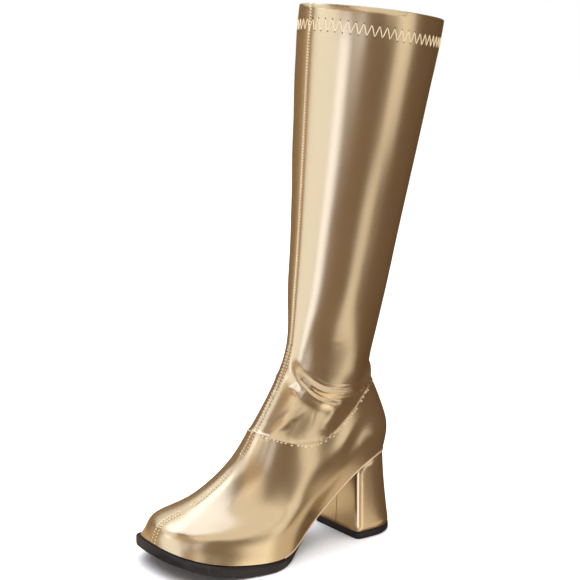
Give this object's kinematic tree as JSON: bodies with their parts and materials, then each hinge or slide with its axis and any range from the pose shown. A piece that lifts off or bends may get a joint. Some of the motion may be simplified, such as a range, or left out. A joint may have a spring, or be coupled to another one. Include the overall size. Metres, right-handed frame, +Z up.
{
  "type": "go go boot",
  "caption": "Knee-high stretch go go boot in metallic gold with a rounded square toe, flared block heel, black sole and heel tip, and an inner side zip.",
  "frame": {"origin": "on the floor, at the centre of the heel tip's ground face", "axes": "+Z up, -Y towards the toe, +X towards the outer side of the left boot"},
  "size_m": [0.1144, 0.2706, 0.4468],
  "materials": {
    "gold_leather": "smooth metallic foil coat on stretch faux leather",
    "gold_heel_cover": "smooth metallic foil coat, wrapped",
    "insole_sock": "brushed lining cloth",
    "black_sole": "satin moulded",
    "black_tip": "satin moulded",
    "zip_cloth": "woven tape",
    "zip_coil_plastic": "nylon coil",
    "slider_metal": "satin plated",
    "pull_metal": "satin plated"
  },
  "bodies": {
    "boot": {"upper": "gold_leather", "insole": "insole_sock", "outsole": "black_sole", "heel_block": "gold_heel_cover", "heel_tip": "black_tip", "zip_tape": "zip_cloth", "zip_coil": "zip_coil_plastic", "zip_slider": "slider_metal"},
    "pull": {"zip_pull": "pull_metal"}
  },
  "joints": [
    {"name": "pull_swing", "type": "hinge", "parent": "boot", "child": "pull", "pos_m": [-0.05798, -0.00692, 0.41165], "axis": [-0.0267, 0.9996, 0], "range_deg": [0, 165]}
  ]
}
